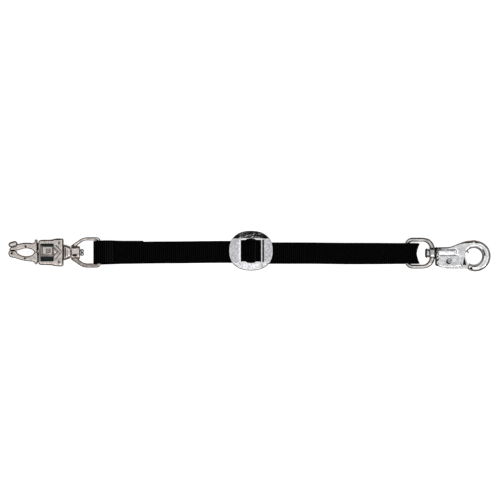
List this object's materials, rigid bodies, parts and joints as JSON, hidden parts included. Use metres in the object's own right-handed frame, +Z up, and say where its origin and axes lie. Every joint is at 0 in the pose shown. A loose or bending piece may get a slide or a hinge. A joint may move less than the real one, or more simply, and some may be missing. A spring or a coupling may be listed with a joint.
{
  "type": "martingale strap",
  "caption": "Webbing martingale strap with an oval slide, a quick-release panic snap at one end and a swivel bull snap with sprung gate at the other.",
  "frame": {"origin": "under the middle of the whole assembly, on the plane it lies on", "axes": "+X along the strap towards the bull snap, +Y across the strap towards the panic snap's moving jaw, +Z up"},
  "size_m": [0.5562, 0.047, 0.0224],
  "materials": {
    "chrome_casting": "polished nickel or chrome plate over a soft-edged casting",
    "steel_wire": "plain bright steel wire, pins and riveted studs",
    "nylon_webbing": "black woven nylon webbing with ribs across its width",
    "thread": "dark bonded sewing thread"
  },
  "bodies": {
    "adjuster": {"slide_frame": "chrome_casting", "slide_bar": "steel_wire", "webbing_center": "nylon_webbing", "webbing_bar_loop": "nylon_webbing", "slide_stitching": "thread"},
    "left_strap": {"webbing_left": "nylon_webbing", "fold_stitching": "thread"},
    "panic_eye": {"panic_swivel_eye": "chrome_casting"},
    "panic_core": {"panic_body": "chrome_casting", "panic_jaw_pin": "steel_wire", "panic_swivel_rivet": "steel_wire", "panic_sleeve_spring": "steel_wire"},
    "panic_sleeve": {"panic_sleeve": "chrome_casting"},
    "panic_jaw": {"panic_jaw": "chrome_casting"},
    "right_strap": {"webbing_right": "nylon_webbing"},
    "bull_eye": {"bull_swivel_eye": "chrome_casting"},
    "bull_core": {"bull_body": "chrome_casting", "bull_gate_rivet": "steel_wire", "bull_gate_spring": "steel_wire", "bull_swivel_rivet": "steel_wire"},
    "bull_gate": {"bull_gate": "chrome_casting"}
  },
  "joints": [
    {"name": "left_strap_bend", "type": "hinge", "parent": "adjuster", "child": "left_strap", "pos_m": [-0.0315, 0.0002, 0.00085], "axis": [0, 1, 0], "range_deg": [-80, 80]},
    {"name": "panic_eye_swing", "type": "hinge", "parent": "left_strap", "child": "panic_eye", "pos_m": [-0.1736, 0, 0.0112], "axis": [0, -1, 0], "range_deg": [-110, 110]},
    {"name": "panic_swivel", "type": "hinge", "parent": "panic_eye", "child": "panic_core", "pos_m": [-0.2, 0, 0.0112], "axis": [1, 0, 0], "continuous": true},
    {"name": "panic_sleeve_slide", "type": "slide", "parent": "panic_core", "child": "panic_sleeve", "axis": [1, 0, 0], "range_m": [0, 0.0085], "stiffness_N_per_m": 600, "springref_m": -0.01, "deforming": ["panic_sleeve_spring"]},
    {"name": "panic_jaw_swing", "type": "hinge", "parent": "panic_core", "child": "panic_jaw", "pos_m": [-0.24, 0.0075, 0.0112], "axis": [0, 0, 1], "range_deg": [-60, 0]},
    {"name": "right_strap_bend", "type": "hinge", "parent": "adjuster", "child": "right_strap", "pos_m": [0.033, -0.0008, 0.00175], "axis": [0, -1, 0], "range_deg": [-80, 80]},
    {"name": "bull_eye_swing", "type": "hinge", "parent": "right_strap", "child": "bull_eye", "pos_m": [0.1815, -0.0008, 0.0064], "axis": [0, 1, 0], "range_deg": [-110, 110]},
    {"name": "bull_swivel", "type": "hinge", "parent": "bull_eye", "child": "bull_core", "pos_m": [0.212, -0.0008, 0.0064], "axis": [1, 0, 0], "continuous": true},
    {"name": "bull_gate_swing", "type": "hinge", "parent": "bull_core", "child": "bull_gate", "pos_m": [0.2304, -0.0096, 0.0064], "axis": [0, 0, 1], "range_deg": [0, 28], "stiffness_Nm_per_rad": 0.05, "springref_deg": -17.19, "deforming": ["bull_gate_spring"]}
  ],
  "couplings": [
    {"joint": "panic_jaw_swing", "follows": "panic_sleeve_slide", "rad_per_m": -123}
  ]
}
